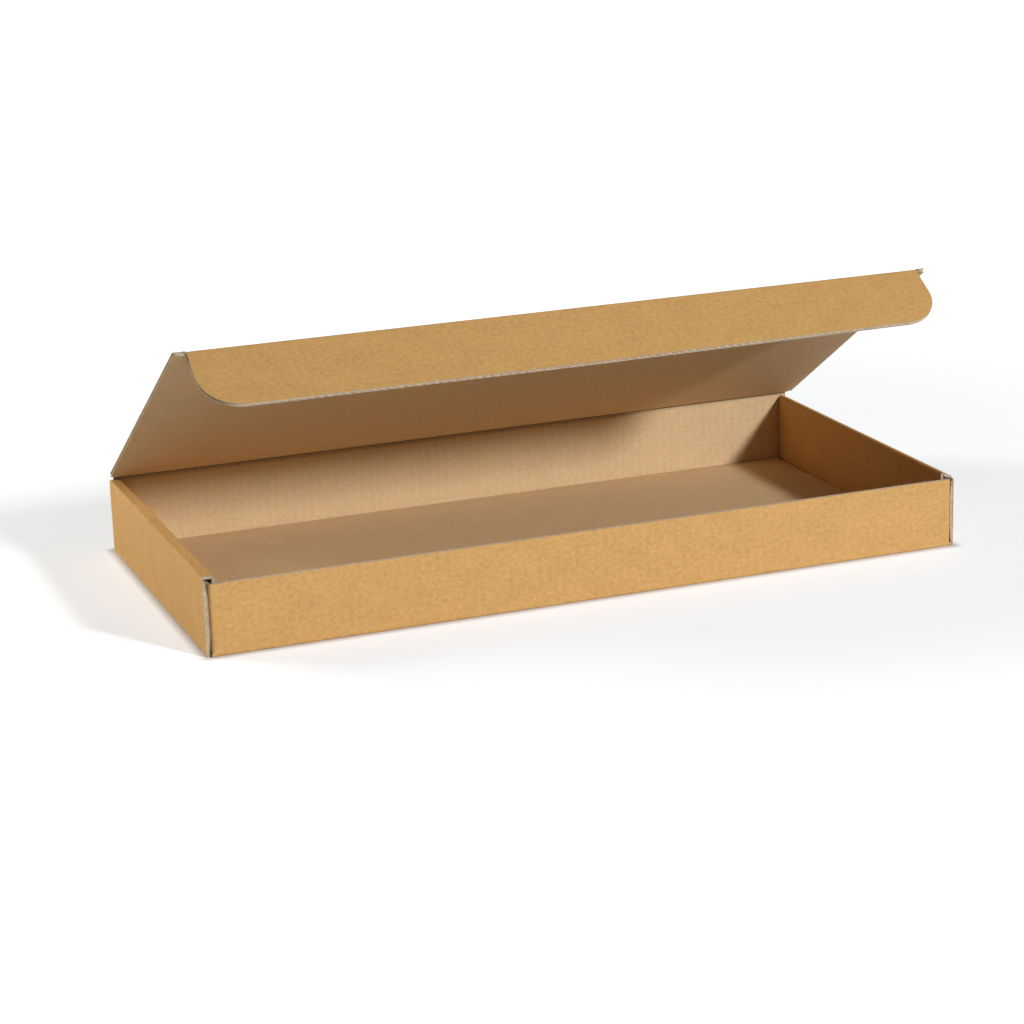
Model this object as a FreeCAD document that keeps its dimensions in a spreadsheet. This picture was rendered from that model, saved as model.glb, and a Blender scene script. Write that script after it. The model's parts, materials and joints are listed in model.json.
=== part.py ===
import FreeCAD, Part
import math
import os

import Sketcher

# Shallow folding mailer of corrugated board, standing open: one die-cut sheet with
# rolled end walls, a hinged lid and a tuck flap on the lid's front edge.
# Origin: middle of the underside. X runs along the width, Y from front to back, Z up.

doc = FreeCAD.newDocument("FoldingMailer")
sheet = doc.addObject("Spreadsheet::Sheet", "Sizes")

# Driving dimensions, in millimetres and degrees
DIMENSIONS = {
    "width": 500,  # over both end walls
    "depth": 240,  # over the front and back walls
    "height": 49,  # underside to the top of the end and back walls
    "front_height": 45,  # underside to the raw top edge of the front wall
    "board": 2.5,  # thickness of the corrugated board
    "layer_gap": 0.25,  # air between layers that lie on each other
    "fold_radius": 1.6,  # outside of the bottom folds and of the rolled tops
    "corner_radius": 2.2,  # outside of the upright folds at the four corners
    "end_setback": 1.3,  # cut edges of the end panels, behind the front and back faces
    "dust_flap_length": 96,  # along the end wall, from the outside of the front or back wall
    "tab_length": 42,  # of each locking tab under an inner end panel
    "tab_spacing": 182,  # between the middles of the two tabs of one end
    "slot_clearance": 0.4,  # between a locking tab and its floor slot, all round
    "hinge_gap": 0.3,  # between the lid and the walls under it
    "lid_notch_width": 2.8,  # relief cut at each end of the lid's hinge fold
    "lid_notch_depth": 5,
    "lid_corner_radius": 1.5,
    "lid_open": 32,  # lid's angle above closed, as it stands
    "flap_length": 45.5,  # tuck flap, from its fold to its raw edge
    "flap_clearance": 0.4,  # tucked flap to the walls beside it, and fold to the lid's cut edge
    "flap_corner_radius": 27,
    "flap_fold": 66,  # tuck flap's angle out of the lid's plane, as it stands
}
for row, (alias, value) in enumerate(DIMENSIONS.items(), start=1):
    sheet.set(f"A{row}", alias.replace("_", " "))
    sheet.set(f"B{row}", str(value))
    sheet.setAlias(f"B{row}", alias)
doc.recompute()


def size(text):
    """Turn a formula in plain aliases into one that reads the sheet."""
    words = sorted(DIMENSIONS, key=len, reverse=True)
    out, at = "", 0
    while at < len(text):
        word = next((w for w in words if text.startswith(w, at)), None)
        out += f"Sizes.{word}" if word else text[at]
        at += len(word) if word else 1
    return out


def number(text):
    """Value of a formula in millimetres, for the first guess of a sketch."""
    return float(sheet.evalExpression(size(text)))


# Places that several pieces share, as formulas
ROLL = "(3 * board + 2 * layer_gap)"  # outer panel, dust flap and inner panel together
OUTER_FACE = "(width / 2 - board)"  # inside of the outer end panel
DUST_OUT = f"({OUTER_FACE} - layer_gap)"
DUST_IN = f"({DUST_OUT} - board)"
INNER_OUT = f"({DUST_IN} - layer_gap)"
INNER_IN = f"(width / 2 - {ROLL})"
FLOOR_TOP = "(board + layer_gap)"
WALL_IN = "(depth / 2 - board)"  # inside of the front and back walls
PANEL_END = f"({WALL_IN} - layer_gap)"
HINGE_Y = "(depth / 2 - board / 2)"
HINGE_Z = "(height + hinge_gap + board / 2)"
LID_LENGTH = f"({HINGE_Y} + {WALL_IN} - flap_clearance - board / 2)"  # hinge to the flap's fold
FLAP_HALF = f"({INNER_IN} - flap_clearance)"


def origin_plane(body, role):
    return next(f for f in body.Origin.OriginFeatures if f.Role == role)


def outline(body, name, role, sides, radii=None):
    """Sketch a closed outline whose sides run along the sketch's two axes in turn.

    sides lists pairs: ("x", formula) is a side that stands at that x, ("y", formula) one at that y.
    radii gives a formula for the round corner after a side, by the side's place in the list.
    """
    radii = radii or {}
    count = len(sides)
    sketch = body.newObject("Sketcher::SketchObject", name)
    sketch.AttachmentSupport = [(origin_plane(body, role), "")]
    sketch.MapMode = "FlatFace"
    corners = []
    for i in range(count):
        at = {axis: number(text) for axis, text in (sides[i], sides[(i + 1) % count])}
        corners.append(FreeCAD.Vector(at["x"], at["y"], 0))
    radius = [number(radii[i]) if i in radii else 0.0 for i in range(count)]
    along = [(corners[i] - corners[i - 1]).normalize() for i in range(count)]
    for i in range(count):
        start = corners[i - 1] + along[i] * radius[i - 1]
        end = corners[i] - along[i] * radius[i]
        sketch.addGeometry(Part.LineSegment(start, end), False)
    for i, (axis, text) in enumerate(sides):
        sketch.addConstraint(Sketcher.Constraint("Vertical" if axis == "x" else "Horizontal", i))
    for i in range(count):
        following = (i + 1) % count
        if i not in radii:
            sketch.addConstraint(Sketcher.Constraint("Coincident", i, 2, following, 1))
            continue
        turn = along[i].cross(along[following]).z
        centre = corners[i] + (along[following] - along[i]) * radius[i]
        first = corners[i] - along[i] * radius[i]
        last = corners[i] + along[following] * radius[i]
        begin, finish = (first, last) if turn > 0 else (last, first)
        angles = [math.atan2(p.y - centre.y, p.x - centre.x) for p in (begin, finish)]
        if angles[1] < angles[0]:
            angles[1] += 2 * math.pi
        circle = Part.Circle(centre, FreeCAD.Vector(0, 0, 1), radius[i])
        arc = sketch.addGeometry(Part.ArcOfCircle(circle, angles[0], angles[1]), False)
        entry, leave = (1, 2) if turn > 0 else (2, 1)
        sketch.addConstraint(Sketcher.Constraint("Tangent", i, 2, arc, entry))
        sketch.addConstraint(Sketcher.Constraint("Tangent", arc, leave, following, 1))
        held = sketch.addConstraint(Sketcher.Constraint("Radius", arc, radius[i]))
        sketch.setExpression(f"Constraints[{held}]", size(radii[i]))
    for i, (axis, text) in enumerate(sides):
        if text == "0":
            sketch.addConstraint(Sketcher.Constraint("PointOnObject", i, 1, -2 if axis == "x" else -1))
            continue
        kind = "DistanceX" if axis == "x" else "DistanceY"
        held = sketch.addConstraint(Sketcher.Constraint(kind, -1, 1, i, 1, number(text)))
        sketch.setExpression(f"Constraints[{held}]", size(text))
    return sketch


def plate(name, role, sides, radii, thickness):
    """Body padded evenly to both sides of an origin plane."""
    body = doc.addObject("PartDesign::Body", name)
    sketch = outline(body, f"{name}_outline", role, sides, radii)
    pad = body.newObject("PartDesign::Pad", f"{name}_pad")
    pad.Profile = sketch
    pad.Midplane = True
    pad.setExpression("Length", size(thickness))
    return body


def box(name, x_span, y_span, z_span):
    """Box between two formulas along each axis."""
    solid = doc.addObject("Part::Box", name)
    for side, place, (low, high) in zip(("Length", "Width", "Height"), "xyz", (x_span, y_span, z_span)):
        solid.setExpression(side, size(f"{high} - ({low})"))
        solid.setExpression(f"Placement.Base.{place}", size(low))
    return solid


def fold_rod(name, half_length):
    """Round edge of a board at a moving fold, along X through the origin."""
    rod = doc.addObject("Part::Cylinder", name)
    rod.setExpression("Radius", size("board / 2"))
    rod.setExpression("Height", size(f"2 * {half_length}"))
    rod.Placement.Rotation = FreeCAD.Rotation(FreeCAD.Vector(0, 1, 0), 90)
    rod.setExpression("Placement.Base.x", size(f"0 - {half_length}"))
    return rod


def joined(name, pieces):
    whole = doc.addObject("Part::MultiFuse", name)
    whole.Shapes = pieces
    return whole


def cut(name, base, tools):
    left = doc.addObject("Part::Cut", name)
    left.Base = base
    left.Tool = tools[0] if len(tools) == 1 else joined(f"{name}_tools", tools)
    return left


def mirrored(name, source):
    """Copy on the other end of the tray."""
    twin = doc.addObject("Part::Mirroring", name)
    twin.Source = source
    twin.Normal = FreeCAD.Vector(1, 0, 0)
    return twin


# Floor with the front and back walls, folded up along the bottom edges
walls = plate(
    "walls", "YZ_Plane",
    [("y", "0"), ("x", "depth / 2"), ("y", "height"), ("x", WALL_IN), ("y", "board"),
     ("x", f"0 - {WALL_IN}"), ("y", "front_height"), ("x", "0 - depth / 2")],
    {0: "fold_radius", 7: "fold_radius"},
    f"2 * {DUST_OUT}",
)

# Dust flaps: the ends of the front and back walls, turned in between the layers of the end walls
front_flap = box("front_dust_flap", (DUST_IN, DUST_OUT),
                 ("0 - depth / 2", "0 - depth / 2 + dust_flap_length"), (FLOOR_TOP, "front_height"))
back_flap = box("back_dust_flap", (DUST_IN, DUST_OUT),
                ("depth / 2 - dust_flap_length", "depth / 2"), (FLOOR_TOP, "height - board - layer_gap"))
right_flaps = joined("right_dust_flaps", [front_flap, back_flap])
left_flaps = mirrored("left_dust_flaps", right_flaps)

# Upright corners are folds too, so the plan of walls and dust flaps has round corners
plan = plate(
    "plan", "XY_Plane",
    [("y", "0 - depth / 2"), ("x", DUST_OUT), ("y", "depth / 2"), ("x", f"0 - {DUST_OUT}")],
    {i: "corner_radius" for i in range(4)},
    "2 * height",
)
basket = doc.addObject("Part::Common", "basket")
basket.Base = joined("walls_and_flaps", [walls, right_flaps, left_flaps])
basket.Tool = plan

# Rolled end wall: outer panel, flat top strip and inner panel in one run of board
ROLL_START = f"({INNER_IN} - 10 * board)"
roll = plate(
    "roll", "XZ_Plane",
    [("y", "0"), ("x", "width / 2"), ("y", "height"), ("x", INNER_IN), ("y", FLOOR_TOP),
     ("x", INNER_OUT), ("y", "height - board"), ("x", OUTER_FACE), ("y", "board"), ("x", ROLL_START)],
    {0: "fold_radius", 1: "fold_radius", 2: "fold_radius"},
    "depth - 2 * end_setback",
)
past_edge = "(depth / 2 + board)"
back_relief = box("back_relief", (ROLL_START, OUTER_FACE), (PANEL_END, past_edge), (FLOOR_TOP, "height + board"))
front_relief = box("front_relief", (ROLL_START, OUTER_FACE), (f"0 - {past_edge}", f"0 - {PANEL_END}"),
                   (FLOOR_TOP, "height - board"))
right_end = cut("right_end", roll, [back_relief, front_relief])
left_end = mirrored("left_end", right_end)

# Locking tabs under the inner panels, and the floor slots that hold them
tabs, slots = [], []
for place in ("0 - tab_spacing / 2", "tab_spacing / 2"):
    number_of = len(tabs) + 1
    tabs.append(box(
        f"tab_{number_of}", (INNER_IN, INNER_OUT),
        (f"{place} - tab_length / 2", f"{place} + tab_length / 2"), ("layer_gap", "2 * board")))
    slots.append(box(
        f"slot_{number_of}", (f"{INNER_IN} - slot_clearance", f"{INNER_OUT} + slot_clearance"),
        (f"{place} - tab_length / 2 - slot_clearance", f"{place} + tab_length / 2 + slot_clearance"),
        ("0 - board", FLOOR_TOP)))
right_slots = joined("right_slots", slots)
right_tabs = joined("right_tabs", tabs)
folded = joined("folded_sheet", [basket, right_end, left_end])
slotted = cut("slotted_sheet", folded, [right_slots, mirrored("left_slots", right_slots)])
tray = joined("tray_solid", [slotted, right_tabs, mirrored("left_tabs", right_tabs)])
tray.Label = "tray"

# Lid: a flat panel whose rear edge is the moving fold on top of the back wall
LID_EDGE = f"(0 - {LID_LENGTH} - board / 2)"
LID_CUT = f"(0 - {LID_LENGTH} + board / 2 + flap_clearance)"
CUT_HALF = f"({FLAP_HALF} + flap_clearance)"
HINGE_HALF = "(width / 2 - lid_notch_width)"
lid_panel = plate(
    "lid_panel", "XY_Plane",
    [("y", LID_EDGE), ("x", f"0 - {CUT_HALF}"), ("y", LID_CUT), ("x", CUT_HALF), ("y", LID_EDGE),
     ("x", "width / 2"), ("y", "0 - lid_notch_depth"), ("x", HINGE_HALF), ("y", "0"),
     ("x", f"0 - {HINGE_HALF}"), ("y", "0 - lid_notch_depth"), ("x", "0 - width / 2")],
    {4: "lid_corner_radius", 11: "lid_corner_radius"},
    "board",
)
lid = joined("lid_solid", [lid_panel, fold_rod("hinge_edge", HINGE_HALF)])
lid.Label = "lid"
lid.Placement.Rotation = FreeCAD.Rotation(FreeCAD.Vector(-1, 0, 0), number("lid_open"))
lid.setExpression("Placement.Rotation.Angle", size("lid_open * 1 deg"))
lid.setExpression("Placement.Base.y", size(HINGE_Y))
lid.setExpression("Placement.Base.z", size(HINGE_Z))

# Tuck flap: round-cornered panel on the lid's front edge
flap_panel = plate(
    "flap_panel", "XY_Plane",
    [("y", "0 - flap_length"), ("x", FLAP_HALF), ("y", "0"), ("x", f"0 - {FLAP_HALF}")],
    {0: "flap_corner_radius", 3: "flap_corner_radius"},
    "board",
)
tuck_flap = joined("tuck_flap_solid", [flap_panel, fold_rod("flap_edge", FLAP_HALF)])
tuck_flap.Label = "tuck_flap"
tuck_flap.Placement.Rotation = FreeCAD.Rotation(FreeCAD.Vector(1, 0, 0), number("flap_fold - lid_open"))
tuck_flap.setExpression("Placement.Rotation.Angle", size("(flap_fold - lid_open) * 1 deg"))
tuck_flap.setExpression("Placement.Base.y", size(f"{HINGE_Y} - {LID_LENGTH} * cos(lid_open * 1 deg)"))
tuck_flap.setExpression("Placement.Base.z", size(f"{HINGE_Z} + {LID_LENGTH} * sin(lid_open * 1 deg)"))

doc.recompute()

# Every feature has to be sound before anything is written
for item in doc.Objects:
    if "Invalid" in item.State or "Error" in item.State:
        raise RuntimeError(f"{item.Name} failed: {item.State}")
nodes = [tray, lid, tuck_flap]
for node in nodes:
    shape = node.Shape
    if shape.isNull() or not shape.isValid() or len(shape.Solids) != 1:
        raise RuntimeError(f"{node.Label} is not one sound solid")

os.makedirs("parts", exist_ok=True)
for node in nodes:
    node.Shape.exportStep(os.path.join("parts", f"{node.Label}.step"))
    bounds = node.Shape.BoundBox
    print(f"{node.Label}: volume {node.Shape.Volume:.0f} mm3, x {bounds.XMin:.2f} to {bounds.XMax:.2f}, "
          f"y {bounds.YMin:.2f} to {bounds.YMax:.2f}, z {bounds.ZMin:.2f} to {bounds.ZMax:.2f}")
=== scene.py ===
import json
import math

import bpy
import numpy as np
from bpy.props import FloatProperty, FloatVectorProperty, PointerProperty
from mathutils import Matrix, Vector


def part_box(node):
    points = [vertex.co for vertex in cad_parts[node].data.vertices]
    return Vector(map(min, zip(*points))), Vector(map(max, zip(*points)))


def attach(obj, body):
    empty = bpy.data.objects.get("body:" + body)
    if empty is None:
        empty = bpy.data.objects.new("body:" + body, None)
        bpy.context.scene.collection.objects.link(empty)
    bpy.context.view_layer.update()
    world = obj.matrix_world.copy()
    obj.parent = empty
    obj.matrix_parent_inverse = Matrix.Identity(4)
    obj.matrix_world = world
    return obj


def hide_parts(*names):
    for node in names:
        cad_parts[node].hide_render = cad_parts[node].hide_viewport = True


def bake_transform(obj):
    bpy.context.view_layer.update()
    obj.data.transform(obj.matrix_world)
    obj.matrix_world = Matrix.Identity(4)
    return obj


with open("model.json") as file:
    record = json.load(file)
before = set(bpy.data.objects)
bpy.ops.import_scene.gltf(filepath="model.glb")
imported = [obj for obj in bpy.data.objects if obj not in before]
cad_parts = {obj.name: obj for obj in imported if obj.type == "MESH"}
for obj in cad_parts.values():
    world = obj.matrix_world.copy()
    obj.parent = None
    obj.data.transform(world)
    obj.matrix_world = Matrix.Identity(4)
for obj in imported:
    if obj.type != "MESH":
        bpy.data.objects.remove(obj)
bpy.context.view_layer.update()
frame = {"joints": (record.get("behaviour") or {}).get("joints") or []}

bl_info = {
    "name": "Folding mailer box",
    "version": (1, 0, 0),
    "blender": (4, 5, 0),
    "location": "View3D > Sidebar > Mailer",
    "description": "Dresses the packed mailer in corrugated board and sets up its studio",
    "category": "Object",
}

MM = 0.001

# Places read from the frame, in metres
TRAY_LOW, TRAY_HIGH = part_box("tray")
HALF_WIDTH = TRAY_HIGH.x
HALF_DEPTH = TRAY_HIGH.y
HEIGHT = TRAY_HIGH.z
JOINTS = {joint["name"]: joint for joint in frame["joints"]}
HINGE = np.array(JOINTS["lid_hinge"]["pos_m"][1:])  # y and z of the lid's fold
FOLD = np.array(JOINTS["flap_fold"]["pos_m"][1:])  # y and z of the tuck flap's fold
FLAP_TURN = math.radians(-JOINTS["flap_fold"]["range_deg"][0])  # out of the lid's plane, at rest
FLAP_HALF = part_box("tuck_flap")[1].x

# Sizes of the mesh
STEP = 12 * MM  # longest step of a liner
LONG_STEP = 30 * MM  # longest step of the fluted middle along its flutes
HOLD = 0.25 * MM  # from an arc to the row that keeps the flat board's shading flat
LEAST_RADIUS = 0.3 * MM  # of the board's middle in a fold
SCORE_REACH = 2.6 * MM  # a score dies out this far from its fold
BOTTOM_SCORE_REACH = 1.3 * MM  # the same at the bottom folds of the front and back walls
CREASE_REACH = 2.4 * MM  # the painted shade on the inner liner near a fold dies out this far from it

# Where one run of board ends and the next begins
HINGE_REACH = 3.2 * MM  # each moving fold's strip runs this far to both sides of its axis
FOLD_TOP = 2.6 * MM  # height at which the bottom folds end and the walls begin
END_MARGIN = 3 * MM  # from the floor panel's end to the rolled end's inner face
FOLD_INSET = 2 * MM  # from the walls' middle to the floor panel's flat part
DUST_DROP = 1 * MM  # from the strip on top of an end down to the dust flaps


def length(name, description, default):
    return FloatProperty(name=name, description=description, default=default,
                         subtype="DISTANCE", unit="LENGTH", precision=5)


def colour(name, description, default):
    return FloatVectorProperty(name=name, description=description, default=default,
                               subtype="COLOR", size=3, min=0.0, max=1.0)


class MailerBoard(bpy.types.PropertyGroup):
    """Sizes of the corrugated board and of its cuts"""

    thickness: length("Board", "Thickness of the corrugated board", 2.5 * MM)
    paper: length("Paper", "Thickness of each liner and of the fluted middle", 0.3 * MM)
    pitch: length("Flute pitch", "From one flute to the next", 6.1 * MM)
    score: length("Score", "Depth to which a fold is pressed in from the inside", 0.8 * MM)
    recess: length("Recess", "Crushed flutes behind the cut edge", 0.45 * MM)
    layer_gap: length("Layer gap", "Air between layers that lie on each other", 0.25 * MM)
    front_height: length("Front height", "Top edge of the front wall", 45 * MM)
    bottom_radius: length("Bottom fold", "Outside radius of the bottom and rolled folds", 1.6 * MM)
    corner_radius: length("Corner fold", "Outside radius of the upright folds", 2.2 * MM)
    moving_radius: length("Moving fold", "Outside radius of the lid's and flap's folds", 2.1 * MM)
    end_setback: length("End setback", "End panels' cut edges behind the front and back", 1.3 * MM)
    strip_setback: length("Strip setback", "Strips on top of the ends, behind their panels", 2.6 * MM)
    right_slack: length("Right slack", "Outer edge of the right strip below its inner edge", 2.6 * MM)
    dust_length: length("Dust flap", "Length of each hidden dust flap", 96 * MM)
    tab_length: length("Tab", "Length of each locking tab", 42 * MM)
    tab_spacing: length("Tab spacing", "Between the middles of one end's tabs", 182 * MM)
    slot_clearance: length("Slot clearance", "Around a tab in its slot", 2.3 * MM)
    notch_width: length("Notch width", "Relief at each end of the lid's fold", 2.8 * MM)
    notch_depth: length("Notch depth", "Relief along the lid's side", 5 * MM)
    flap_clearance: length("Flap clearance", "Tuck flap to the lid's corners", 0.4 * MM)
    flap_radius: length("Flap corner", "Radius of the tuck flap's free corners", 25.5 * MM)
    flap_length: length("Flap length", "From the fold to the tuck flap's raw edge", 45.5 * MM)
    ear_taper: length("Ear taper", "Lid's right side drawn in at its front corner", 2.6 * MM)
    flap_lift: FloatProperty(name="Flap lift", description="Flap's right end hangs less steeply",
                             default=math.radians(2.5), subtype="ANGLE", unit="ROTATION")


class MailerFinish(bpy.types.PropertyGroup):
    """Colours of the papers"""

    outer: colour("Outer liner", "Golden kraft on the outside", (0.66, 0.38, 0.130))
    inner: colour("Inner liner", "Paler kraft on the inside", (0.665, 0.475, 0.275))
    raw: colour("Raw edge", "Pulp that shows at the cut edges", (0.58, 0.475, 0.35))
    mottle: FloatProperty(name="Mottle", description="Strength of the fibre mottling",
                          default=0.42, min=0.0, max=1.0, subtype="FACTOR")


class MailerStudio(bpy.types.PropertyGroup):
    """Camera and lamps"""

    heading: FloatProperty(name="Heading", description="Camera's turn from +Y towards +X",
                           default=math.radians(20.614), subtype="ANGLE", unit="ROTATION")
    tilt: FloatProperty(name="Tilt", description="Camera's look down",
                        default=math.radians(16.441), subtype="ANGLE", unit="ROTATION")
    roll: FloatProperty(name="Roll", description="Camera's turn about its own axis",
                        default=math.radians(-1.811), subtype="ANGLE", unit="ROTATION")
    distance: length("Distance", "Camera to the point that it looks at", 1.8115)
    target: FloatVectorProperty(name="Target", description="Point in the middle of the picture",
                                default=(-0.00711, 0.00989, 0.02289), subtype="XYZ", unit="LENGTH")
    lens: FloatProperty(name="Lens", description="Focal length in millimetres", default=96.7)
    key_power: FloatProperty(name="Key", description="Lamp at the front right, in watts", default=130.0)
    fill_power: FloatProperty(name="Fill", description="Lamp behind the left end, in watts", default=26.0)
    sky: FloatProperty(name="Sky", description="Strength of the even light", default=0.09)


# Paths and surfaces

def unit(vectors):
    return vectors / np.linalg.norm(vectors, axis=-1, keepdims=True)


def right_of(vectors):
    """Vectors of a plane turned a quarter to the right."""
    return np.stack([vectors[..., 1], -vectors[..., 0]], axis=-1)


def bent(corners, radii, steps=8):
    """Path through corners with arcs in its bends, as rows of place and right-hand normal.

    An arc starts radius * tan(turn / 2) before its corner. Its point at angle t lies radius * sin t
    along the first side and radius * (1 - cos t) towards its centre, and its normal has turned
    by t. Each arc has a row of points just before and after it, which keeps the shading of the
    flat board beside it flat.
    """
    first_way = unit(corners[1] - corners[0])
    rows = [np.concatenate([corners[0], right_of(first_way)])[None]]
    for before, corner, after, radius in zip(corners, corners[1:], corners[2:], radii):
        first, second = unit(corner - before), unit(after - corner)
        turn = math.atan2(first[0] * second[1] - first[1] * second[0], first @ second)
        if radius == 0 or abs(turn) < 1e-6:
            rows.append(np.concatenate([corner, right_of(first)])[None])
            continue
        t = np.linspace(0, abs(turn), steps + 1)[:, None]
        inward = -np.sign(turn) * right_of(first)
        lead = radius * math.tan(abs(turn) / 2)
        points = corner - first * lead + radius * (np.sin(t) * first + (1 - np.cos(t)) * inward)
        normals = right_of(np.cos(t) * first + np.sin(t) * inward)
        hold = min(HOLD, (np.linalg.norm(corner - before) - lead) / 2)
        rows.append(np.concatenate([points[0] - first * hold, normals[0]])[None])
        rows.append(np.hstack([points, normals]))
        rows.append(np.concatenate([points[-1] + second * hold, normals[-1]])[None])
    last_way = unit(corners[-1] - corners[-2])
    rows.append(np.concatenate([corners[-1], right_of(last_way)])[None])
    return np.vstack(rows)


def finer(path, spacing):
    """The same path with extra rows, so that no step is longer than spacing."""
    steps = np.linalg.norm(np.diff(path[:, :2], axis=0), axis=1)
    counts = np.maximum(1, np.ceil(steps / spacing - 1e-9)).astype(int)
    starts = np.repeat(path[:-1], counts, axis=0)
    moves = np.repeat(np.diff(path, axis=0), counts, axis=0)
    rank = np.arange(counts.sum()) - np.repeat(np.cumsum(counts) - counts, counts)
    share = rank / np.repeat(counts, counts)
    return np.vstack([starts + moves * share[:, None], path[-1:]])


def run_of(path):
    """Distance along a path at each of its rows."""
    return np.concatenate([[0], np.cumsum(np.linalg.norm(np.diff(path[:, :2], axis=0), axis=1))])


def spans(cuts, spacing):
    """Places from the first cut to the last, every cut among them, no further apart than spacing."""
    cuts = np.array(cuts)
    counts = np.maximum(1, np.ceil(np.diff(cuts) / spacing - 1e-9)).astype(int)
    pieces = [np.linspace(a, b, n, endpoint=False) for a, b, n in zip(cuts, cuts[1:], counts)]
    return np.concatenate(pieces + [cuts[-1:]])


def eased(x):
    """Smooth step from 0 to 1."""
    x = np.clip(x, 0, 1)
    return x * x * (3 - 2 * x)


# Board: two liners with a fluted middle between them

ALONG_YZ = np.array([(0, 1, 0), (0, 0, 1), (1, 0, 0)], float)  # path in y and z, carried along x


def along_xz(side):
    """Path in x and z, carried along y, at the right or the left end."""
    return np.array([(side, 0, 0), (0, 0, 1), (0, 1, 0)], float)


def along_xy(end):
    """Path in x and y, carried up z, at the front, or mirrored to the back."""
    return np.array([(1, 0, 0), (0, end, 0), (0, 0, 1)], float)


def grid_faces(rows, columns, keep):
    """Corner numbers of the kept cells of a grid, as an array of four columns."""
    index = np.arange(rows * columns).reshape(rows, columns)
    quads = np.stack([index[:-1, :-1], index[1:, :-1], index[1:, 1:], index[:-1, 1:]], axis=-1)
    return quads[keep]


def border(kept):
    """Border edges of the kept cells, as pairs of corner numbers that run against the cells' order."""
    index = np.arange((kept.shape[0] + 1) * (kept.shape[1] + 1)).reshape(kept.shape[0] + 1, -1)
    padded = np.pad(kept, 1).astype(int)
    down = padded[1:, 1:-1] - padded[:-1, 1:-1]
    across = padded[1:-1, 1:] - padded[1:-1, :-1]
    pairs = []
    for value in (1, -1):
        row, column = np.nonzero(down == value)
        pairs.append(np.stack([index[row, column], index[row, column + 1]], axis=1)[:, ::value])
        row, column = np.nonzero(across == value)
        pairs.append(np.stack([index[row + 1, column], index[row, column]], axis=1)[:, ::value])
    return np.concatenate(pairs)


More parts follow.
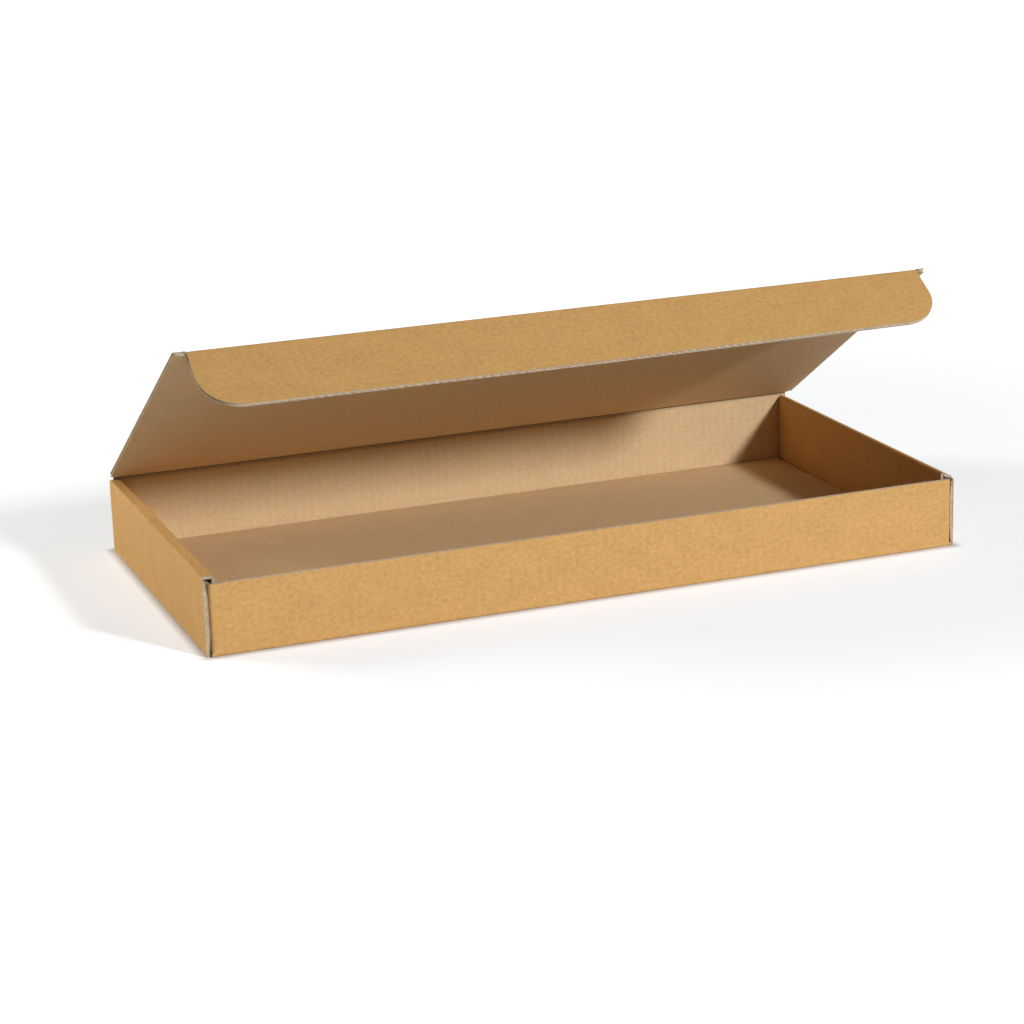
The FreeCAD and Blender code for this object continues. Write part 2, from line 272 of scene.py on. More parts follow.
def board(name, corners, radii, across, axes, keep=None, waves="across", fitted=None, start=0.0,
          warp=None, reach=SCORE_REACH):
    """One run of corrugated board, made of papers that follow the same middle path.

    A paper's point is its path's point, plus the right-hand normal times its rise, plus the place
    across. The outer liner rises by half the board and the inner one falls by it, less the score,
    which presses it towards the outer one near each fold. The fluted middle rises by a cosine of
    the flute's phase that fills what the liners leave. Along each cut edge a band of crushed pulp
    closes the flutes, a little behind an edge that crosses them and deeper behind one that runs
    beside them. keep tells which cells stay, from the places of
    their middles; fitted narrows the run's width along its path; warp moves finished points.
    """
    sizes = bpy.context.scene.mailer_board
    half = (sizes.thickness - sizes.paper) / 2
    corners = np.array(corners, float)
    across = np.array(across, float)
    folds = [corner for corner, radius in zip(corners[1:], radii) if radius > 0]
    middle = bent(corners, [max(r - sizes.thickness / 2, LEAST_RADIUS) if r > 0 else 0 for r in radii])
    right_handed = np.linalg.det(axes) > 0

    def pressed(path, reach=reach):
        """Share of a fold's score at each row: whole in the fold, nothing beyond its reach."""
        share = np.zeros((len(path), 1))
        for fold in folds:
            away = np.linalg.norm(path[:, :2] - fold, axis=1, keepdims=True)
            share = np.maximum(share, 1 - eased(away / reach))
        return share

    def lift(plane):
        """Points of the path's plane put into space."""
        return plane[..., 0, None] * axes[0] + plane[..., 1, None] * axes[1]

    def surface(path, columns, rise):
        """Points of one paper, their places on the sheet, and which of its cells stay."""
        s, a = np.meshgrid(run_of(path) + start, columns, indexing="ij")
        placed = (a if fitted is None else fitted(s, a))[..., None] * axes[2]
        level = lift(path[:, None, :2]) + placed
        centres = (level[:-1, :-1] + level[1:, 1:]) / 2
        kept = np.ones(centres.shape[:2], bool) if keep is None else keep(centres)
        sheet = np.stack([s, a] if waves == "along" else [a, s], axis=-1)
        return level + lift(path[:, None, 2:]) * rise[..., None], sheet.reshape(-1, 2), kept

    parts = []
    coarse = finer(middle, STEP)
    flat = np.ones((len(coarse), len(across)))
    # Near each fold, a share of painted shade for the inner liner's colour, stored below as a point
    # attribute
    score, crease_shade = pressed(coarse) * flat, pressed(coarse, CREASE_REACH) * flat
    outer, sheet, kept = surface(coarse, across, half * flat)
    inner, sheet, kept = surface(coarse, across, sizes.score * score - half)
    quads = grid_faces(*flat.shape, kept)
    outside = quads if right_handed else quads[:, ::-1]
    outer, inner = outer.reshape(-1, 3), inner.reshape(-1, 3)
    parts.append((outer, sheet, outside, 0, np.zeros(len(outer))))
    parts.append((inner, sheet, outside[:, ::-1], 1, crease_shade.ravel() ** 2))

    low, high = border(kept).T
    normal = np.repeat(lift(coarse[:, 2:]), len(across), axis=0) * (1 if right_handed else -1)
    inward = np.cross(unit(outer[high] - outer[low]), normal[low])
    way = np.zeros_like(outer)
    np.add.at(way, low, inward)
    np.add.at(way, high, inward)
    way *= 2 * sizes.recess / np.maximum(np.sum(way ** 2, axis=1, keepdims=True), 1e-9)
    beside = np.abs(way @ axes[2]) / np.maximum(np.linalg.norm(way, axis=1), 1e-9)
    beside = beside if waves == "across" else 1 - beside
    way *= 1 + 1.5 * beside[:, None]
    band = np.stack([low, high, high + len(outer), low + len(outer)], axis=1)
    parts.append((np.concatenate([outer + way, inner + way]), np.concatenate([sheet, sheet + 2 * half]),
                  band if right_handed else band[:, ::-1], 2, np.zeros(2 * len(outer))))

    if waves == "along":
        path, columns = finer(middle, sizes.pitch / 12), across
        place = run_of(path)[:, None] + start
    else:
        path, columns = finer(middle, LONG_STEP), spans(across[[0, -1]], sizes.pitch / 10)
        place = columns[None, :]
    dent = sizes.score * pressed(path) / 2
    rise = dent + (half - sizes.paper - dent) * np.cos(2 * math.pi * place / sizes.pitch)
    points, sheet, kept = surface(path, columns, rise * np.ones((len(path), len(columns))))
    parts.append((points.reshape(-1, 3), sheet, grid_faces(len(path), len(columns), kept), 2,
                  np.zeros(len(sheet))))

    starts = np.cumsum([0] + [len(part[0]) for part in parts])
    faces = np.concatenate([part[2] + first for part, first in zip(parts, starts)])
    slots = np.concatenate([np.full(len(part[2]), part[3]) for part in parts])
    verts, sheet, crease_shade = (np.concatenate([part[k] for part in parts]) for k in (0, 1, 4))
    if warp is not None:
        verts = warp(verts)
    used, faces = np.unique(faces, return_inverse=True)
    return paper_piece(name, verts[used], faces.reshape(-1, 4), slots, sheet[used], crease_shade[used],
                       sizes.paper)


def paper_piece(name, verts, faces, slots, uvs, crease_shade, paper):
    """Mesh of thin papers: an open surface that a Solidify modifier gives its thickness."""
    mesh = bpy.data.meshes.new(name)
    mesh.vertices.add(len(verts))
    mesh.vertices.foreach_set("co", verts.ravel())
    mesh.loops.add(faces.size)
    mesh.loops.foreach_set("vertex_index", faces.ravel())
    mesh.polygons.add(len(faces))
    mesh.polygons.foreach_set("loop_start", np.arange(0, faces.size, 4))
    mesh.polygons.foreach_set("material_index", slots)
    mesh.update(calc_edges=True)
    ends = np.zeros(len(mesh.loops), int)
    mesh.loops.foreach_get("edge_index", ends)
    sharp = np.bincount(ends, minlength=len(mesh.edges)) == 1
    mesh.attributes.new("sharp_edge", "BOOLEAN", "EDGE").data.foreach_set("value", sharp)
    # Painted shade: this attribute darkens the inner liner's colour near the folds
    mesh.attributes.new("Crease shade", "FLOAT", "POINT").data.foreach_set("value", crease_shade)
    layer = mesh.uv_layers.new(name="Sheet")
    layer.data.foreach_set("uv", uvs[faces.ravel()].ravel())
    mesh.validate()
    piece = bpy.data.objects.new(name, mesh)
    bpy.context.scene.collection.objects.link(piece)
    for material in (outer_kraft(), inner_kraft(), raw_pulp(), raw_pulp(), raw_pulp()):
        mesh.materials.append(material)
    solid = piece.modifiers.new("Paper", "SOLIDIFY")
    solid.thickness = paper
    solid.offset = 0.0
    solid.material_offset = 2
    solid.material_offset_rim = 2
    return piece


# Materials

def nodes_of(tree):
    """Short way to add a node with its values and links."""

    def add(kind, at=(0, 0), inputs=None, **settings):
        made = tree.nodes.new(kind)
        made.location = at
        for key, value in settings.items():
            setattr(made, key, value)
        for key, value in (inputs or {}).items():
            if isinstance(value, bpy.types.NodeSocket):
                tree.links.new(value, made.inputs[key])
            else:
                made.inputs[key].default_value = value
        return made

    return add


def group(name, inputs, outputs):
    """Empty shader node group with named sockets, and whether it is new."""
    if name in bpy.data.node_groups:
        return bpy.data.node_groups[name], False
    tree = bpy.data.node_groups.new(name, "ShaderNodeTree")
    for label, kind, default in inputs:
        socket = tree.interface.new_socket(label, in_out="INPUT", socket_type=kind)
        if default is not None:
            socket.default_value = default
    for label, kind in outputs:
        tree.interface.new_socket(label, in_out="OUTPUT", socket_type=kind)
    return tree, True


def fibre_group():
    """Mottling of kraft paper: clouds, blotches a little drawn out across the flutes, and fibres."""
    tree, new = group(
        "Paper fibres",
        [("Place", "NodeSocketVector", None), ("Strength", "NodeSocketFloat", 0.3)],
        [("Tone", "NodeSocketFloat"), ("Hue", "NodeSocketFloat"), ("Height", "NodeSocketFloat")],
    )
    if not new:
        return tree
    add = nodes_of(tree)
    source = add("NodeGroupInput", (-1200, 0))

    def noise(height, vector, scale, detail, roughness=0.5):
        """Noise spread out to fill 0 to 1."""
        made = add("ShaderNodeTexNoise", (-780, height),
                   {"Vector": vector, "Scale": scale, "Detail": detail, "Roughness": roughness})
        return add("ShaderNodeMapRange", (-560, height),
                   {"Value": made.outputs[0], "From Min": 0.3, "From Max": 0.7})

    place = source.outputs["Place"]
    drawn = add("ShaderNodeMapping", (-1000, 0), {"Vector": place, "Scale": (0.8, 1.0, 1.0)}).outputs[0]
    cloud = noise(300, drawn, 60.0, 3.0)
    blotch = noise(60, drawn, 400.0, 4.0, 0.65)
    fine = noise(-200, drawn, 2600.0, 2.0, 0.6)
    own = noise(540, place, 290.0, 3.0)
    hue = add("ShaderNodeMix", (-340, 440), {"Factor": 0.4, 2: blotch.outputs[0], 3: own.outputs[0]})
    mixed = add("ShaderNodeMath", (-340, 180), {0: cloud.outputs[0], 1: 0.2}, operation="MULTIPLY")
    mixed = add("ShaderNodeMath", (-180, 120), {0: blotch.outputs[0], 1: 0.6, 2: mixed.outputs[0]},
                operation="MULTIPLY_ADD")
    mixed = add("ShaderNodeMath", (-20, 60), {0: fine.outputs[0], 1: 0.2, 2: mixed.outputs[0]},
                operation="MULTIPLY_ADD")
    centred = add("ShaderNodeMath", (140, 60), {0: mixed.outputs[0], 1: 0.5}, operation="SUBTRACT")
    tone = add("ShaderNodeMath", (300, 60), {0: centred.outputs[0], 1: source.outputs["Strength"], 2: 1.0},
               operation="MULTIPLY_ADD")
    height = add("ShaderNodeMath", (140, -160), {0: fine.outputs[0], 1: 0.5, 2: blotch.outputs[0]},
                 operation="MULTIPLY_ADD")
    sink = add("NodeGroupOutput", (480, 0))
    tree.links.new(tone.outputs[0], sink.inputs["Tone"])
    tree.links.new(hue.outputs[0], sink.inputs["Hue"])
    tree.links.new(height.outputs[0], sink.inputs["Height"])
    return tree


def flute_group():
    """Washboard: the flutes press faintly through the liner, as a wave of the place across them. The wave
    feeds a faint bump and painted shade stripes in the colour.
    """
    tree, new = group(
        "Flute washboard",
        [("Place", "NodeSocketVector", None), ("Pitch", "NodeSocketFloat", 0.006)],
        [("Wave", "NodeSocketFloat")],
    )
    if not new:
        return tree
    add = nodes_of(tree)
    source = add("NodeGroupInput", (-800, 0))
    parts = add("ShaderNodeSeparateXYZ", (-600, 0), {0: source.outputs["Place"]})
    turns = add("ShaderNodeMath", (-420, 0), {0: parts.outputs["X"], 1: source.outputs["Pitch"]},
                operation="DIVIDE")
    phase = add("ShaderNodeMath", (-260, 0), {0: turns.outputs[0], 1: 2 * math.pi}, operation="MULTIPLY")
    wave = add("ShaderNodeMath", (-100, 0), {0: phase.outputs[0]}, operation="COSINE")
    sink = add("NodeGroupOutput", (80, 0))
    tree.links.new(wave.outputs[0], sink.inputs["Wave"])
    return tree


def paper_material(name, base, mottle, roughness, flute_shade, place_shift):
    """Kraft paper whose mottling, fibres and washboard follow the sheet's map. The washboard is a faint
    bump and also painted shade stripes in the colour, and the colour is darkened with painted shade in
    creases.
    """
    if name in bpy.data.materials:
        return bpy.data.materials[name]
    pitch = bpy.context.scene.mailer_board.pitch
    material = bpy.data.materials.new(name)
    material.use_nodes = True
    tree = material.node_tree
    tree.nodes.clear()
    add = nodes_of(tree)
    sheet = add("ShaderNodeUVMap", (-1100, 0), uv_map="Sheet")
    placed = add("ShaderNodeMapping", (-900, 0), {"Vector": sheet.outputs[0], "Location": place_shift})
    fibres = add("ShaderNodeGroup", (-680, 160), node_tree=fibre_group())
    tree.links.new(placed.outputs[0], fibres.inputs["Place"])
    fibres.inputs["Strength"].default_value = mottle
    flutes = add("ShaderNodeGroup", (-680, -160), node_tree=flute_group())
    tree.links.new(sheet.outputs[0], flutes.inputs["Place"])
    flutes.inputs["Pitch"].default_value = pitch
    # Painted shade: the flute wave lightens and darkens the fibres' tone in stripes across the flutes
    tone_and_flute_shade = add("ShaderNodeMath", (-460, -60),
                  {0: flutes.outputs["Wave"], 1: flute_shade, 2: fibres.outputs["Tone"]},
                  operation="MULTIPLY_ADD")
    orange = [c * k for c, k in zip(base, (1.06, 0.97, 0.84))] + [1.0]
    cream = [c * k for c, k in zip(base, (0.94, 1.03, 1.16))] + [1.0]
    hued = add("ShaderNodeMix", (-460, 240), {"Factor": fibres.outputs["Hue"], 6: orange, 7: cream},
               data_type="RGBA")
    # Painted shade in creases: the colour darkens to 35 percent where the attribute is whole
    crease_shade = add("ShaderNodeAttribute", (-680, -400), attribute_name="Crease shade")
    painted_shade = add("ShaderNodeMath", (-460, -400), {0: crease_shade.outputs["Fac"], 1: -0.65, 2: 1.0},
               operation="MULTIPLY_ADD")
    tone = add("ShaderNodeMath", (-300, -20), {0: tone_and_flute_shade.outputs[0], 1: painted_shade.outputs[0]},
               operation="MULTIPLY")
    toned = add("ShaderNodeVectorMath", (-120, 120), {0: hued.outputs[2], "Scale": tone.outputs[0]},
                operation="SCALE")
    relief = add("ShaderNodeMath", (-460, -260),
                 {0: flutes.outputs["Wave"], 1: 0.3, 2: fibres.outputs["Height"]},
                 operation="MULTIPLY_ADD")
    bump = add("ShaderNodeBump", (-240, -220),
               {"Height": relief.outputs[0], "Strength": 0.25, "Distance": 0.08 * MM})
    gloss = add("ShaderNodeMapRange", (-240, -40), {"Value": fibres.outputs["Height"], "From Min": 0.0,
                "From Max": 1.5, "To Min": roughness + 0.06, "To Max": roughness - 0.06})
    surface = add("ShaderNodeBsdfPrincipled", (40, 60), {"Base Color": toned.outputs[0],
                  "Roughness": gloss.outputs[0], "Normal": bump.outputs[0]})
    surface.inputs["Specular IOR Level"].default_value = 0.35
    out = add("ShaderNodeOutputMaterial", (320, 60))
    tree.links.new(surface.outputs[0], out.inputs[0])
    return material


def outer_kraft():
    finish = bpy.context.scene.mailer_finish
    return paper_material("Outer kraft", finish.outer, mottle=finish.mottle, roughness=0.68, flute_shade=0.008,
                          place_shift=(0.0, 0.0, 0.0))


def inner_kraft():
    finish = bpy.context.scene.mailer_finish
    return paper_material("Inner kraft", finish.inner, mottle=0.6 * finish.mottle, roughness=0.78,
                          flute_shade=0.013, place_shift=(0.37, 0.81, 0.0))


def raw_pulp():
    finish = bpy.context.scene.mailer_finish
    return paper_material("Raw pulp", finish.raw, mottle=1.3 * finish.mottle, roughness=0.9, flute_shade=0.0,
                          place_shift=(0.13, 0.29, 0.0))


# Lines that the board's runs share, in the plane across the width

def lid_way():
    """Direction of the lid's panel, from its hinge to the tuck flap's fold."""
    return unit(FOLD - HINGE)


def flap_way():
    """Direction of the tuck flap: the lid's direction turned down by the fold."""
    way = lid_way()
    c, s = math.cos(FLAP_TURN), math.sin(FLAP_TURN)
    return np.array([c * way[0] - s * way[1], s * way[0] + c * way[1]])


def lifted(points):
    """Points turned up about the flap's fold, more and more towards the right end.

    The turn is the lift times the place from the middle to the right end, and times the share of
    the fold's reach that the point lies past the fold.
    """
    past = (points[:, 1:] - FOLD) @ flap_way() / HINGE_REACH
    share = np.clip(past, 0, 1) * np.clip(points[:, 0] / FLAP_HALF, 0, 1)
    turn = -bpy.context.scene.mailer_board.flap_lift * share
    y, z = (points[:, 1:] - FOLD).T
    c, s = np.cos(turn), np.sin(turn)
    return np.stack([points[:, 0], FOLD[0] + c * y - s * z, FOLD[1] + s * y + c * z], axis=1)


class MAILER_OT_floor(bpy.types.Operator):
    """Build the floor with the bottom folds of the front and back walls"""

    bl_idname = "mailer.floor"
    bl_label = "Floor"

    def execute(self, context):
        b = context.scene.mailer_board
        half = b.thickness / 2
        dust_out = HALF_WIDTH - b.thickness - b.layer_gap
        floor_edge = HALF_WIDTH - 3 * b.thickness - 2 * b.layer_gap - END_MARGIN
        wall = HALF_DEPTH - half
        inset = wall - FOLD_INSET
        corners = [(-wall, FOLD_TOP), (-wall, half), (-inset, half), (inset, half), (wall, half),
                   (wall, FOLD_TOP)]
        radii = (b.bottom_radius, 0, 0, b.bottom_radius)
        cuts = sorted({-dust_out, -floor_edge, floor_edge, dust_out})

        def keep(p):
            return ~((np.abs(p[..., 0]) > floor_edge) & (np.abs(p[..., 1]) < inset))

        piece = board("floor_panel", corners, radii, spans(cuts, STEP), ALONG_YZ, keep,
                      start=-HALF_DEPTH, reach=BOTTOM_SCORE_REACH)
        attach(piece, "tray")
        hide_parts("tray")
        return {"FINISHED"}


class MAILER_OT_walls(bpy.types.Operator):
    """Build the front and back walls, each with its two dust flaps in one run round the corners"""

    bl_idname = "mailer.walls"
    bl_label = "Front and back walls"

    def execute(self, context):
        b = context.scene.mailer_board
        half = b.thickness / 2
        dust = HALF_WIDTH - b.thickness - b.layer_gap - half
        wall = HALF_DEPTH - half
        tip = HALF_DEPTH - b.dust_length
        corners = [(-dust, -tip), (-dust, -wall), (dust, -wall), (dust, -tip)]
        dust_top = HEIGHT - b.thickness - b.layer_gap - DUST_DROP
        floor_top = b.thickness + b.layer_gap
        rows = (
            ("front_wall", 1, [FOLD_TOP, floor_top, b.front_height]),
            ("back_wall", -1, [FOLD_TOP, floor_top, dust_top, HINGE[1] - HINGE_REACH]),
        )

        def keep(p):
            away = np.abs(p[..., 1])
            over_floor = (away < HALF_DEPTH - b.thickness) & (p[..., 2] < floor_top)
            over_roll = (away < wall - DUST_DROP) & (p[..., 2] > dust_top)
            return ~(over_floor | over_roll)

        for name, end, heights in rows:
            piece = board(name, corners, (b.corner_radius, b.corner_radius), spans(heights, STEP),
                          along_xy(end), keep, waves="along", start=-(wall - tip) - dust)
            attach(piece, "tray")
        return {"FINISHED"}


class MAILER_OT_ends(bpy.types.Operator):
    """Build the rolled end walls with their locking tabs"""

    bl_idname = "mailer.ends"
    bl_label = "Rolled ends"

    def execute(self, context):
        b = context.scene.mailer_board
        half = b.thickness / 2
        roll = 3 * b.thickness + 2 * b.layer_gap
        floor_edge = HALF_WIDTH - roll - END_MARGIN
        inner = HALF_WIDTH - roll + half
        outer = HALF_WIDTH - half
        floor_top = b.thickness + b.layer_gap
        slot_in = HALF_WIDTH - roll - b.slot_clearance
        slot_out = slot_in + b.thickness + 2 * b.slot_clearance
        panel = HALF_DEPTH - b.end_setback
        strip = panel - b.strip_setback
        floor_end = HALF_DEPTH - FOLD_INSET - half
        inner_end = HALF_DEPTH - b.thickness - b.layer_gap
        tab_mid, tab_half = b.tab_spacing / 2, b.tab_length / 2
        slot_half = tab_half + b.slot_clearance
        edges = [0, tab_mid - slot_half, tab_mid - tab_half, tab_mid + tab_half, tab_mid + slot_half,
                 floor_end, strip, inner_end, panel]
        edges = sorted(set(edges + [-e for e in edges]))

        def keep_tab(p):
            y, z = p[..., 1], p[..., 2]
            return (z < floor_top) & (np.abs(np.abs(y) - tab_mid) < tab_half)

        for side, word, slack in ((1, "right", b.right_slack), (-1, "left", 0.0)):
            fold_start = HEIGHT - slack - b.bottom_radius

            def keep(p):
                x, y, z = np.abs(p[..., 0]), p[..., 1], p[..., 2]
                from_tab = np.abs(np.abs(y) - tab_mid)
                on_floor = (z < b.thickness) & (x < HALF_WIDTH - b.thickness)
                in_slot = on_floor & (x > slot_in) & (x < slot_out) & (from_tab < slot_half)
                past_floor = on_floor & (np.abs(y) > floor_end)
                inside = (x < HALF_WIDTH - b.thickness) & (z > b.thickness)
                past_inner = inside & ((y > inner_end) | (y < -strip))
                past_strip = (z > fold_start) & (y < -strip)
                return ~(past_floor | past_inner | past_strip | in_slot)

            corners = [(floor_edge, half), (slot_in, half), (slot_out, half), (outer, half),
                       (outer, HEIGHT - half - slack), (inner, HEIGHT - half), (inner, floor_top)]
            radii = (0, 0, b.bottom_radius, b.bottom_radius, b.bottom_radius)
            piece = board(f"{word}_rolled_end", corners, radii, spans(edges, STEP),
                          along_xz(side), keep, waves="along", start=floor_edge)
            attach(piece, "tray")
            tabs = board(f"{word}_tabs", [(inner, floor_top), (inner, b.layer_gap)], (),
                         spans(edges, STEP), along_xz(side), keep_tab, waves="along")
            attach(tabs, "tray")
        return {"FINISHED"}


class MAILER_OT_lid(bpy.types.Operator):
    """Build the lid's panel with its relief notches and corner ears"""

    bl_idname = "mailer.lid"
    bl_label = "Lid"

    def execute(self, context):
        b = context.scene.mailer_board
        way = lid_way()
        size = np.linalg.norm(FOLD - HINGE)
        hinge_half = HALF_WIDTH - b.notch_width
        cut_half = FLAP_HALF + b.flap_clearance
        places = [HINGE_REACH, b.notch_depth, size - HINGE_REACH, size + b.thickness / 2]
        corners = [HINGE + way * place for place in places]
        cuts = [-HALF_WIDTH, -hinge_half, -cut_half, cut_half, hinge_half, HALF_WIDTH]

        def keep(p):
            x = np.abs(p[..., 0])
            along = (p[..., 1:] - HINGE) @ way
            notch = (x > hinge_half) & (along < b.notch_depth)
            fold = (x < cut_half) & (along > size - HINGE_REACH)
            return ~(notch | fold)

        def fitted(run, across):
            share = (run - HALF_DEPTH) / size
            return across - b.ear_taper * share * eased((across - cut_half) / (HALF_WIDTH - cut_half))

        piece = board("lid_panel", corners, (0, 0), spans(cuts, STEP), ALONG_YZ, keep, fitted=fitted,
                      start=HALF_DEPTH)
        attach(piece, "lid")
        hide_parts("lid")
        return {"FINISHED"}


class MAILER_OT_tuck_flap(bpy.types.Operator):
    """Build the round-cornered tuck flap"""

    bl_idname = "mailer.tuck_flap"
    bl_label = "Tuck flap"

    def execute(self, context):
        b = context.scene.mailer_board
        way = flap_way()
        radius, size = b.flap_radius, b.flap_length
        arc = radius * (1 - np.cos(np.linspace(0, math.pi / 2, 17)))
        places = np.concatenate([[HINGE_REACH], size - arc[::-1]])
        corners = FOLD + way * places[:, None]
        start = 2 * HALF_DEPTH

        def fitted(run, across):
            # Half the width shrinks by a quarter circle over the last radius of the flap
            left = size - (run - start + HINGE_REACH)
            inside = np.clip(radius - left, 0, radius)
            half = FLAP_HALF - radius + np.sqrt(np.maximum(radius ** 2 - inside ** 2, 0))
            return across / FLAP_HALF * half

        piece = board("tuck_flap_panel", corners, [0] * (len(corners) - 2),
                      spans([-FLAP_HALF, FLAP_HALF], STEP), ALONG_YZ, fitted=fitted,
                      start=start, warp=lifted)
        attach(piece, "tuck_flap")
        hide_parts("tuck_flap")
        return {"FINISHED"}


class MAILER_OT_folds(bpy.types.Operator):
    """Build the board that bends at the lid's hinge and at the tuck flap's fold"""

    bl_idname = "mailer.folds"
    bl_label = "Moving folds"

    def execute(self, context):
        b = context.scene.mailer_board
        up = np.array([0.0, 1.0])
        rows = (
            ("hinge_fold", HINGE, up, lid_way(), HALF_WIDTH - b.notch_width, "tray", "lid", None),
            ("flap_fold", FOLD, lid_way(), flap_way(), FLAP_HALF, "lid", "tuck_flap", lifted),
        )
        for name, axis, before, after, half_width, first, second, warp in rows:
            corners = [axis - before * HINGE_REACH, axis, axis + after * HINGE_REACH]
            piece = board(name, corners, (b.moving_radius,), spans([-half_width, half_width], STEP),
                          ALONG_YZ, warp=warp)
            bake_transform(piece)
        return {"FINISHED"}


class MAILER_OT_stage(bpy.types.Operator):
    """Set up the floor, the lamps, the pale surroundings and the camera"""

    bl_idname = "mailer.stage"
    bl_label = "Stage"

    def execute(self, context):
        studio = context.scene.mailer_studio
        floor_surface()
        world_light(studio.sky)
        lamp("Key", (1.70, -3.20, 1.72), 0.4, studio.key_power, (1.0, 1.0, 1.0))
        lamp("Fill", (-1.54, 1.08, 0.71), 0.8, studio.fill_power, (1.0, 0.95, 0.84))
        photo_camera(studio)
        context.scene.view_settings.view_transform = "Standard"
        return {"FINISHED"}


def floor_surface():
    """Wide pale floor. To the camera it glows faintly round the box and up to white far away. It has no
    glow under the box, and its glow fades in over 6 mm beside the box as a painted contact shadow.
    """
    half = 4.0
    verts = np.array([(-half, -half, 0), (half, -half, 0), (half, half, 0), (-half, half, 0)])
    mesh = bpy.data.meshes.new("studio_floor")
    mesh.from_pydata(verts.tolist(), [], [(0, 1, 2, 3)])
    material = bpy.data.materials.new("Studio floor")
    material.use_nodes = True
    tree = material.node_tree
    tree.nodes.clear()
    add = nodes_of(tree)
    matte = add("ShaderNodeBsdfDiffuse", (0, 100), {"Color": (0.80, 0.80, 0.81, 1)})
    rays = add("ShaderNodeLightPath", (-400, -100))
    place = add("ShaderNodeTexCoord", (-1400, -300))
    folded = add("ShaderNodeVectorMath", (-1200, -300), {0: place.outputs["Object"]}, operation="ABSOLUTE")
    beyond = add("ShaderNodeVectorMath", (-1050, -300),
                 {0: folded.outputs[0], 1: (HALF_WIDTH, HALF_DEPTH, 0)}, operation="SUBTRACT")
    outside = add("ShaderNodeVectorMath", (-900, -300), {0: beyond.outputs[0], 1: (0, 0, 0)},
                  operation="MAXIMUM")
    away = add("ShaderNodeVectorMath", (-750, -300), {0: outside.outputs[0]}, operation="LENGTH")
    level = add("ShaderNodeMapRange", (-600, -300), {"Value": away.outputs["Value"], "From Min": 0.1,
                "From Max": 1.0}, interpolation_type="SMOOTHSTEP")
    tint = add("ShaderNodeMix", (-400, -300),
               {"Factor": level.outputs[0], 6: (0.45, 0.47, 0.49, 1), 7: (1, 1, 1, 1)}, data_type="RGBA")
    # Painted contact shadow: no glow under the box, rising to full glow 6 mm from its footprint
    clear = add("ShaderNodeMapRange", (-600, -560), {"Value": away.outputs["Value"], "From Max": 6 * MM})
    seen = add("ShaderNodeMath", (-200, -150), {0: rays.outputs["Is Camera Ray"], 1: clear.outputs[0]},
               operation="MULTIPLY")
    glow = add("ShaderNodeEmission", (0, -60), {"Color": tint.outputs[2], "Strength": seen.outputs[0]})
    both = add("ShaderNodeAddShader", (200, 0), {0: matte.outputs[0], 1: glow.outputs[0]})
    out = add("ShaderNodeOutputMaterial", (400, 0))
    tree.links.new(both.outputs[0], out.inputs[0])
    mesh.materials.append(material)
    floor = bpy.data.objects.new("studio_floor", mesh)
    bpy.context.scene.collection.objects.link(floor)


def world_light(strength):
    """Even light all round, seen as plain white."""
    world = bpy.data.worlds.new("Studio")
    bpy.context.scene.world = world
    world.use_nodes = True
    tree = world.node_tree
    tree.nodes.clear()
    add = nodes_of(tree)
    rays = add("ShaderNodeLightPath", (-400, 0))
    level = add("ShaderNodeMapRange", (-200, 0), {"Value": rays.outputs["Is Camera Ray"],
                "To Min": strength, "To Max": 1.0})
    sky = add("ShaderNodeBackground", (0, 0), {"Color": (1, 1, 1, 1), "Strength": level.outputs[0]})
    out = add("ShaderNodeOutputWorld", (200, 0))
    tree.links.new(sky.outputs[0], out.inputs[0])


def lamp(name, place, size, power, tint):
    """Square area lamp that points at the box."""
    light = bpy.data.lights.new(name, "AREA")
    light.size = size
    light.energy = power
    light.color = tint
    holder = bpy.data.objects.new(name, light)
    bpy.context.scene.collection.objects.link(holder)
    holder.location = place
    aim = Vector((0.0, 0.0, 0.05)) - Vector(place)
    holder.rotation_euler = aim.to_track_quat("-Z", "Y").to_euler()


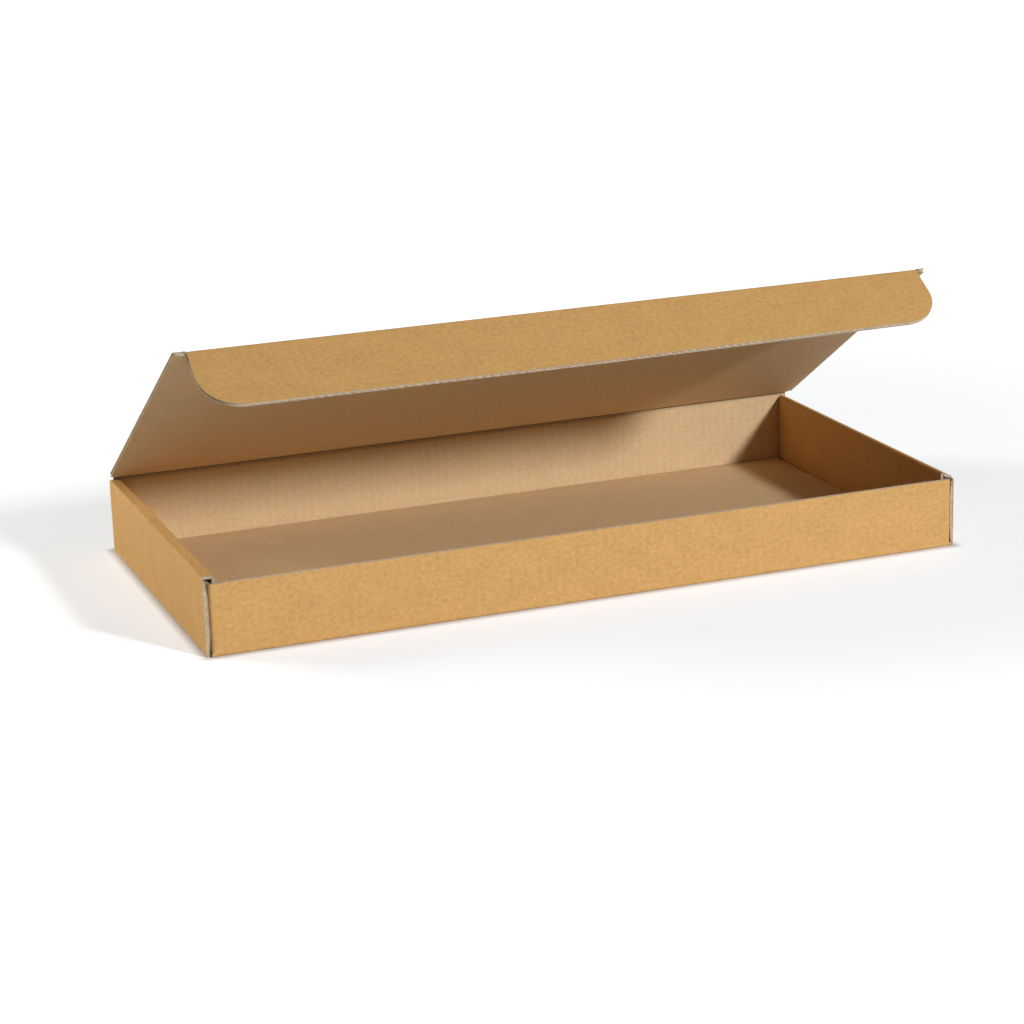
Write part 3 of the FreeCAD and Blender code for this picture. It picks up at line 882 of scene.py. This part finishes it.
def photo_camera(studio):
    """Camera at the photograph's angle: forward, right and up from its heading, tilt and roll."""
    ch, sh = math.cos(studio.heading), math.sin(studio.heading)
    ct, st = math.cos(studio.tilt), math.sin(studio.tilt)
    forward = Vector((sh * ct, ch * ct, -st))
    level = Vector((ch, -sh, 0.0))
    upright = level.cross(forward)
    cr, sr = math.cos(studio.roll), math.sin(studio.roll)
    right = level * cr + upright * sr
    up = upright * cr - level * sr
    turn = Matrix((right, up, -forward)).transposed().to_4x4()
    camera = bpy.data.objects.new("Camera", bpy.data.cameras.new("Camera"))
    camera.data.lens = studio.lens
    camera.matrix_world = Matrix.Translation(Vector(studio.target) - forward * studio.distance) @ turn
    bpy.context.scene.collection.objects.link(camera)
    bpy.context.scene.camera = camera


class MAILER_PT_sidebar(bpy.types.Panel):
    """Buttons that build the mailer piece by piece"""

    bl_idname = "MAILER_PT_sidebar"
    bl_label = "Folding mailer"
    bl_space_type = "VIEW_3D"
    bl_region_type = "UI"
    bl_category = "Mailer"

    def draw(self, context):
        for group_name in ("mailer_board", "mailer_finish", "mailer_studio"):
            sizes = getattr(context.scene, group_name)
            box = self.layout.box()
            for key in sizes.bl_rna.properties.keys():
                if key not in ("rna_type", "name"):
                    box.prop(sizes, key)
        for operator in STEPS:
            self.layout.operator(operator.bl_idname)


STEPS = (MAILER_OT_floor, MAILER_OT_walls, MAILER_OT_ends, MAILER_OT_lid, MAILER_OT_tuck_flap,
         MAILER_OT_folds, MAILER_OT_stage)
CLASSES = (MailerBoard, MailerFinish, MailerStudio, *STEPS, MAILER_PT_sidebar)


def register():
    for cls in CLASSES:
        bpy.utils.register_class(cls)
    bpy.types.Scene.mailer_board = PointerProperty(type=MailerBoard)
    bpy.types.Scene.mailer_finish = PointerProperty(type=MailerFinish)
    bpy.types.Scene.mailer_studio = PointerProperty(type=MailerStudio)


def unregister():
    del bpy.types.Scene.mailer_studio
    del bpy.types.Scene.mailer_finish
    del bpy.types.Scene.mailer_board
    for cls in reversed(CLASSES):
        bpy.utils.unregister_class(cls)


def main():
    register()
    bpy.ops.mailer.floor()
    bpy.ops.mailer.walls()
    bpy.ops.mailer.ends()
    bpy.ops.mailer.lid()
    bpy.ops.mailer.tuck_flap()
    bpy.ops.mailer.folds()
    bpy.ops.mailer.stage()


if __name__ == "__main__":
    main()
